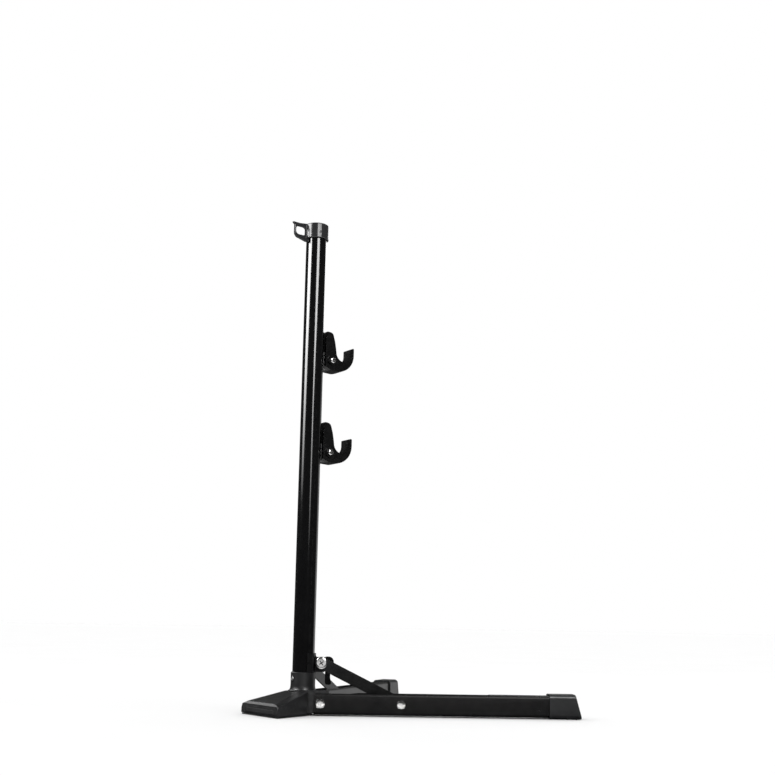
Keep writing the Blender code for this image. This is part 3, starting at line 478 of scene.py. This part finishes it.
def seat(piece, node, surface):
    """Makes a piece stand for a node: same body, its own surface."""
    piece.data.materials.clear()
    piece.data.materials.append(surfaces[surface])
    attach(piece, BODY_OF[node])
    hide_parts(node)


def add_to(piece, node, surface):
    """A further piece on the same body."""
    piece.data.materials.append(surfaces[surface])
    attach(piece, BODY_OF[node])


def smooth(mesh, angle=EDGE_ANGLE):
    mesh.shade_smooth()
    mesh.set_sharp_from_angle(angle=angle)


def new_object(name, bm):
    mesh = bpy.data.meshes.new(name)
    bm.to_mesh(mesh)
    bm.free()
    obj = bpy.data.objects.new(name, mesh)
    bpy.context.scene.collection.objects.link(obj)
    return obj


def round_edges(obj, width, segments=3):
    bevel = obj.modifiers.new("round edges", "BEVEL")
    bevel.width = width
    bevel.segments = segments
    bevel.limit_method = "ANGLE"
    bevel.angle_limit = EDGE_ANGLE
    bevel.use_clamp_overlap = True
    bevel.harden_normals = False
    weighted = obj.modifiers.new("even normals", "WEIGHTED_NORMAL")
    weighted.keep_sharp = True


def dress(node, surface, width, segments=3):
    """A finer copy of a node: whole flat faces, rounded edges and smooth round sides."""
    bm = bmesh.new()
    bm.from_mesh(frame["nodes"][node].data)
    bmesh.ops.remove_doubles(bm, verts=bm.verts, dist=MERGE)
    bmesh.ops.dissolve_limit(bm, angle_limit=FLAT, verts=bm.verts, edges=bm.edges)
    piece = new_object(node + "_finished", bm)
    round_edges(piece, width, segments)
    smooth(piece.data)
    seat(piece, node, surface)


def turned(name, profile, matrix, steps=TURNS):
    """A profile of (radius, height) points, turned about the local Z axis."""
    bm = bmesh.new()
    verts = [bm.verts.new((radius, 0, height)) for radius, height in profile]
    for first, second in zip(verts, verts[1:]):
        bm.edges.new((first, second))
    bmesh.ops.spin(
        bm,
        geom=list(bm.verts) + list(bm.edges),
        cent=(0, 0, 0),
        axis=(0, 0, 1),
        angle=2 * math.pi,
        steps=steps,
        use_merge=True,
    )
    bmesh.ops.remove_doubles(bm, verts=bm.verts, dist=MERGE)
    bmesh.ops.recalc_face_normals(bm, faces=bm.faces)
    bmesh.ops.transform(bm, matrix=matrix, verts=bm.verts)
    return new_object(name, bm)


def boolean(obj, other, operation):
    """Cuts or joins at once, and removes the tool."""
    modifier = obj.modifiers.new(other.name, "BOOLEAN")
    modifier.operation = operation
    modifier.solver = "EXACT"
    modifier.object = other
    graph = bpy.context.evaluated_depsgraph_get()
    mesh = bpy.data.meshes.new_from_object(obj.evaluated_get(graph))
    obj.modifiers.clear()
    obj.data = mesh
    bpy.data.objects.remove(other, do_unlink=True)


def cross_tool(name, radius, depth, height, matrix):
    """One arm of the cross recess: a wedge that narrows as it goes down."""
    bm = bmesh.new()
    bmesh.ops.create_cube(bm, size=1.0)
    for vert in bm.verts:
        low = vert.co.z < 0
        length, width = CROSS_FOOT if low else CROSS_MOUTH
        vert.co.x *= radius * length
        vert.co.y *= radius * width
        vert.co.z = height - depth if low else height + depth
    bmesh.ops.transform(bm, matrix=matrix, verts=bm.verts)
    return new_object(name, bm)


def head_height(sizes, radius):
    """The height of a screw's domed top, with its shallow dish, at a radius."""
    dome = max(0.0, 1 - (radius / sizes.head) ** sizes.squareness)
    dish = max(0.0, 1 - (radius / (sizes.head * DISH_RADIUS)) ** DISH_POWER)
    return sizes.height * dome ** (1 / sizes.squareness) - sizes.dish * dish


def screw_profile(sizes, length):
    """The domed head from its middle outwards, then the shank down to its rolled thread and its tip."""
    profile = []
    for step in range(HEAD_STEPS + 1):
        radius = sizes.head * math.sin(math.pi / 2 * step / HEAD_STEPS) ** (2 / sizes.squareness)
        profile.append((radius, head_height(sizes, radius)))
    lip = sizes.head * HEAD_LIP
    thread = max(0.0, length - NUT_HEIGHT - SCREW_TIP - THREAD_PITCH)
    profile += [(sizes.head - lip, -lip / 2), (sizes.shank, -lip / 2), (sizes.shank, -thread)]
    for turn in range(int((length - thread) / THREAD_PITCH)):
        start = thread + turn * THREAD_PITCH
        profile.append((sizes.shank * THREAD_ROOT, -start - THREAD_PITCH / 2))
        profile.append((sizes.shank, -start - THREAD_PITCH))
    return profile + [(sizes.shank * TIP_RADIUS, -length), (0, -length)]


def paint_cross_shade(piece, sizes, matrix):
    """Paints the walls and the floor of a screw's cross dark, as shade."""
    piece.data.materials.append(surfaces["deep_recess"])
    back = matrix.inverted()
    for face in piece.data.polygons:
        place = back @ face.center
        radius = math.hypot(place.x, place.y)
        roof = head_height(sizes, radius) - sizes.height * CROSS_SHADE_DEPTH
        if 0 < place.z < roof and radius < sizes.head * CROSS_SHADE_RADIUS:
            face.material_index = 1


def screw(node, sizes, length, matrix, surface="bright_steel"):
    """A cross head screw. A dished one has its cross painted dark, as shade."""
    piece = turned(node + "_finished", screw_profile(sizes, length), matrix)
    for number, quarter in enumerate((0, math.pi / 2)):
        turn = matrix @ Matrix.Rotation(quarter + CROSS_TURN, 4, "Z")
        depth = sizes.height * CROSS_DEPTH
        mouth = sizes.height - sizes.dish
        tool = cross_tool(f"{node}_cross_{number}", sizes.head * CROSS_RADIUS, depth, mouth, turn)
        boolean(piece, tool, "DIFFERENCE")
    smooth(piece.data, SCREW_EDGE_ANGLE)
    seat(piece, node, surface)
    if sizes.dish:
        paint_cross_shade(piece, sizes, matrix)


def hexagon(name, radius, height, matrix):
    bm = bmesh.new()
    bmesh.ops.create_cone(
        bm,
        cap_ends=True,
        segments=6,
        radius1=radius,
        radius2=radius,
        depth=height,
        matrix=matrix @ Matrix.Translation((0, 0, height / 2)),
    )
    return new_object(name, bm)


def lock_nut(node, shank, matrix, stub=None):
    """A chamfered hexagonal nut with a nylon collar, on a shank of this radius or on a stub.

    A stub is the end of a screw that is fast in the nut, from one height to another.
    """
    bore = shank if stub else shank + CLEARANCE
    collar = NUT_HEIGHT * COLLAR_HEIGHT
    top = NUT_HEIGHT - collar
    flat = NUT_RADIUS * math.cos(math.pi / 6)
    chamfer = (NUT_RADIUS - flat) * CHAMFER_RISE
    face = flat * FACE_RADIUS
    piece = hexagon(node + "_finished", NUT_RADIUS, top, matrix)
    cone = [(0, top), (face, top), (NUT_RADIUS, top - chamfer), (NUT_RADIUS, chamfer), (face, 0), (0, 0)]
    boolean(piece, turned(node + "_cone", cone, matrix, NUT_TURNS), "INTERSECT")
    if stub:
        low, high = stub
        tip = shank * TIP_RADIUS
        rod = [(0, high), (shank, high), (shank, low + shank - tip), (tip, low), (0, low)]
        boolean(piece, turned(node + "_stub", rod, matrix, BORE_TURNS), "UNION")
    else:
        hole = [(0, top * 2), (bore, top * 2), (bore, -top), (0, -top)]
        boolean(piece, turned(node + "_bore", hole, matrix, BORE_TURNS), "DIFFERENCE")
    round_edges(piece, NUT_EDGE, 2)
    smooth(piece.data)
    seat(piece, node, "zinc_steel")
    inner = bore + COLLAR_GAP
    outer = flat * COLLAR_RADIUS
    rounding = collar * COLLAR_ROUND
    ring = [
        (inner, NUT_HEIGHT),
        (outer - rounding, NUT_HEIGHT),
        (outer, NUT_HEIGHT - rounding),
        (outer, top + MERGE),
        (inner, top + MERGE),
        (inner, NUT_HEIGHT),
    ]
    nylon = turned(node + "_nylon", ring, matrix, NUT_TURNS)
    smooth(nylon.data)
    add_to(nylon, node, "nylon")


def facing(x, y, z, side):
    """Local Z to the outside along Y, for a screw head or a nut."""
    return Matrix.Translation((x, y, z)) @ Matrix.Rotation(-side * math.pi / 2, 4, "X")


def make_fasteners():
    bite = NUT_HEIGHT + SCREW_TIP
    for side, word in ((-1, "right"), (1, "left")):
        turn = Matrix.Rotation(side * LEG_ANGLE, 4, "Z")
        outer = side * (LEG_OUTER + CLEARANCE)
        inner = side * (LEG_INNER - CLEARANCE)
        length = LEG_WIDTH + 2 * CLEARANCE + bite
        for name, sizes, reach in (
            ("leg_pivot", PIVOT_SCREW, PIVOT_REACH),
            ("brace_lower", LOWER_SCREW, PIVOT_REACH + BRACE_REACH),
        ):
            place = turn @ facing(reach, outer, PIVOT_HEIGHT, side)
            screw(f"{word}_{name}_screw", sizes, length, place, "shaded_metal")
            place = turn @ facing(reach, inner, PIVOT_HEIGHT, -side)
            lock_nut(f"{word}_{name}_nut", sizes.shank, place)
        place = turn @ facing(PIVOT_REACH, side * EAR_SCREW_SEAT, UPPER_Z, side)
        screw(word + "_brace_upper_screw", UPPER_SCREW, EAR_SCREW_LENGTH, place)
        place = turn @ facing(PIVOT_REACH, side * EAR_NUT_SEAT, UPPER_Z, -side)
        lock_nut(word + "_brace_upper_nut", UPPER_SCREW.shank, place, (NUT_HEIGHT / 2, bite))
    reach = HOOK_SEAT + CLEARANCE
    for word in ("lower", "upper"):
        low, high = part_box(word + "_hook_screw")
        height = (low[2] + high[2]) / 2
        place = facing(HOOK_SCREW_X, -reach, height, -1)
        screw(word + "_hook_screw", HOOK_SCREW, 2 * reach + bite, place)
        place = facing(HOOK_SCREW_X, reach, height, 1)
        lock_nut(word + "_hook_nut", HOOK_SCREW.shank, place)


def make_shells():
    dress("column_tube", "gloss_paint", TUBE_EDGE)
    dress("strut_cylinder", "gloss_paint", METAL_EDGE)
    for side in ("right", "left"):
        dress(side + "_leg", "satin_paint", MOULDED_EDGE)
        dress(side + "_leg_end", "end_rubber", RUBBER_EDGE)
        dress(side + "_brace", "satin_paint", TUBE_EDGE)
    dress("top_cap", "cap_plastic", MOULDED_EDGE)
    dress("foot_base", "moulded_plastic", MOULDED_EDGE)
    for node in ("runner", "cam_lever"):
        dress(node, "dark_plastic", MOULDED_EDGE)
    for node in ("lower_guide_ring", "upper_guide_ring", "strut_gland"):
        dress(node, "moulded_plastic", FINE_EDGE, 2)
    for node in ("foot_pad", "foot_bumper"):
        dress(node, "grey_rubber", TUBE_EDGE)
    for node in ("lower_hook", "upper_hook"):
        dress(node, "hook_rubber", HOOK_EDGE)
    for node in ("carriage", "clamp_shoe", "strut_piston"):
        dress(node, "zinc_steel", METAL_EDGE)
    dress("cap_pin", "black_steel", METAL_EDGE)
    dress("base_screw", "zinc_steel", METAL_EDGE)
    dress("cam_pin", "bright_steel", FINE_EDGE, 2)
    dress("strut_rod", "turned_steel", METAL_EDGE)


def make_camera():
    heading, pitch, roll = CAMERA_HEADING, CAMERA_PITCH, CAMERA_ROLL
    level = math.cos(pitch)
    ahead = Vector((level * math.cos(heading), level * math.sin(heading), math.sin(pitch)))
    right = Vector((math.sin(heading), -math.cos(heading), 0))
    up = right.cross(ahead)
    across = right * math.cos(roll) + up * math.sin(roll)
    upward = up * math.cos(roll) - right * math.sin(roll)
    data = bpy.data.cameras.new("camera")
    data.sensor_width = SENSOR_WIDTH
    data.lens = FOCAL_PIXELS / IMAGE_SIZE * SENSOR_WIDTH
    data.clip_start = CLIP_START
    camera = bpy.data.objects.new("camera", data)
    turn = Matrix((across, upward, -ahead)).transposed().to_4x4()
    camera.matrix_world = Matrix.Translation(CAMERA_PLACE) @ turn
    bpy.context.scene.collection.objects.link(camera)
    bpy.context.scene.camera = camera


def make_floor():
    """White paper. Reflections look through it, but it is painted black, as shade, close to where a piece
    stands on it.
    """
    bm = bmesh.new()
    bmesh.ops.create_grid(bm, x_segments=2, y_segments=2, size=FLOOR_HALF)
    floor = new_object("floor", bm)
    surface = bpy.data.materials.new("floor_paper")
    surface.use_nodes = True
    tree = surface.node_tree
    shader = tree.nodes["Principled BSDF"]
    place = tree.nodes.new("ShaderNodeTexCoord").outputs["Object"]
    colour = blend_colour(tree, noise(tree, place, FLOOR_PATCH), FLOOR_DARK, FLOOR_LIGHT)
    link(tree, colour, shader.inputs["Base Color"])
    shader.inputs["Roughness"].default_value = FLOOR_ROUGHNESS
    shader.inputs["Specular IOR Level"].default_value = FLOOR_SPECULAR
    rays = tree.nodes.new("ShaderNodeLightPath").outputs
    # Painted shade: black in reflections from nearer than NEAR_FLOOR
    near = less(tree, rays["Ray Length"], NEAR_FLOOR)
    shade = tree.nodes.new("ShaderNodeBsdfDiffuse")
    shade.inputs["Color"].default_value = (0.0, 0.0, 0.0, 1.0)
    clear = tree.nodes.new("ShaderNodeBsdfTransparent")
    reflected = mix_shaders(tree, near, clear, shade)
    seen = mix_shaders(tree, rays["Is Glossy Ray"], shader, reflected)
    link(tree, seen.outputs["Shader"], tree.nodes["Material Output"].inputs["Surface"])
    floor.data.materials.append(surface)


def area_light(name, width, height, strength):
    """A rectangle of light that only reflections show. Its strength is per square metre."""
    data = bpy.data.lights.new(name, "AREA")
    data.shape = "RECTANGLE"
    data.size = width
    data.size_y = height
    data.energy = strength * width * height
    lamp = bpy.data.objects.new(name, data)
    lamp.visible_camera = False
    lamp.visible_diffuse = False
    bpy.context.scene.collection.objects.link(lamp)
    return lamp


def soft_box(name, direction, distance, low, high, width, strength):
    """An upright light that faces the column, from one height to another."""
    lamp = area_light(name, width, high - low, strength)
    place = Vector((direction[0], direction[1], 0)).normalized() * distance
    lamp.rotation_euler = place.to_track_quat("Z", "Y").to_euler()
    place.z = (low + high) / 2
    lamp.location = place
    return lamp


def fade_up(lamp, narrow, start):
    """Lets an upright light grow, from its lower edge up, in strength and in width."""
    lamp.data.use_nodes = True
    tree = lamp.data.node_tree
    place = tree.nodes.new("ShaderNodeNewGeometry").outputs["Parametric"]
    split = tree.nodes.new("ShaderNodeSeparateXYZ")
    link(tree, place, split.inputs["Vector"])
    bright = spread(tree, split.outputs["Y"], 0.0, 1.0, 0.0, BRIGHT_FROM)
    width = spread(tree, split.outputs["Y"], narrow, 1.0, start, WIDE_FROM)
    inside = less(tree, split.outputs["X"], width)
    link(tree, multiply(tree, bright, inside), tree.nodes["Emission"].inputs["Strength"])


def light_only(lamp, words):
    """Keeps a lamp to the pieces whose finish has one of these words in its name."""
    lit = bpy.data.collections.new(lamp.name + "_pieces")
    for obj in bpy.data.objects:
        if obj.type == "MESH" and obj.data.materials:
            name = obj.data.materials[0].name
            if any(word in name for word in words):
                lit.objects.link(obj)
    lamp.light_linking.receiver_collection = lit


def make_lights():
    """Tall boxes for the column's stripes, one behind it, and cards for the screws, legs and foot."""
    to_camera = Vector((CAMERA_PLACE[0], CAMERA_PLACE[1], 0)).normalized()

    def turned_from_camera(degrees):
        return Matrix.Rotation(math.radians(degrees), 3, "Z") @ to_camera

    all_but_shaded = ("paint", "plastic", "rubber", "steel", "nylon")
    left = turned_from_camera(-73.0)
    left_box = soft_box("left_box", left, distance=1.70, low=0.52, high=2.40, width=1.20, strength=54.0)
    fade_up(left_box, narrow=0.60, start=0.08)
    light_only(left_box, all_but_shaded)
    front = turned_from_camera(26.0)
    front_box = soft_box("front_box", front, distance=2.10, low=0.40, high=2.60, width=0.95, strength=38.0)
    fade_up(front_box, narrow=0.38, start=0.25)
    light_only(front_box, all_but_shaded)
    back = turned_from_camera(154.0)
    soft_box("back_box", back, distance=2.20, low=1.15, high=1.95, width=0.90, strength=10.0)

    steel_card = soft_box(
        "steel_card", to_camera, distance=0.55, low=0.01, high=0.15, width=0.50, strength=2.6
    )
    light_only(steel_card, ("steel", "metal"))
    low_card = soft_box("low_card", to_camera, distance=1.20, low=0.14, high=0.28, width=1.30, strength=7.0)
    light_only(low_card, ("satin_paint", "end_rubber", "moulded_plastic"))
    floor_card = area_light("floor_card", width=0.90, height=0.55, strength=4.2)
    floor_card.location = (-0.11, -0.32, 0.001)
    floor_card.rotation_euler = (math.pi, 0.0, -LEG_ANGLE)
    light_only(floor_card, ("shaded_metal",))
    rim = (-0.13, 1.50)
    rim_card = soft_box("rim_card", rim, distance=1.50, low=0.45, high=1.50, width=0.50, strength=14.0)
    light_only(rim_card, ("moulded_plastic",))


def lobe(tree, direction, aim, inside, outside):
    """1 within one angle of a direction, falling to 0 at another."""
    dot = tree.nodes.new("ShaderNodeVectorMath")
    dot.operation = "DOT_PRODUCT"
    link(tree, direction, dot.inputs[0])
    dot.inputs[1].default_value = aim
    ramp = tree.nodes.new("ShaderNodeMapRange")
    ramp.interpolation_type = "SMOOTHSTEP"
    ramp.inputs["From Min"].default_value = math.cos(outside)
    ramp.inputs["From Max"].default_value = math.cos(inside)
    link(tree, dot.outputs["Value"], ramp.inputs["Value"])
    return ramp.outputs["Result"]


def make_world():
    """An even white studio. Reflections show a dim room with a lit wall on the right and a pale ground."""
    world = bpy.data.worlds.new("studio")
    bpy.context.scene.world = world
    world.use_nodes = True
    tree = world.node_tree
    background = tree.nodes["Background"]
    direction = tree.nodes.new("ShaderNodeTexCoord").outputs["Generated"]
    turn = CAMERA_HEADING - WALL_TURN
    level = math.cos(WALL_DIP)
    wall = (level * math.cos(turn), level * math.sin(turn), -math.sin(WALL_DIP))
    room = add_share(tree, ROOM, lobe(tree, direction, wall, *WALL_SPREAD), WALL)
    room = add_share(tree, room, lobe(tree, direction, (0, 0, -1), *GROUND_SPREAD), GROUND)
    rays = tree.nodes.new("ShaderNodeLightPath").outputs
    light = blend_value(tree, rays["Is Diffuse Ray"], room, STUDIO)
    light = blend_value(tree, rays["Is Camera Ray"], light, 1.0)
    link(tree, light, background.inputs["Strength"])
    background.inputs["Color"].default_value = (1.0, 1.0, 1.0, 1.0)


surfaces = {name: finish(name, **values) for name, values in FINISHES.items()}
make_camera()
make_shells()
make_fasteners()
make_floor()
make_lights()
make_world()
bpy.context.scene.view_settings.view_transform = "Standard"
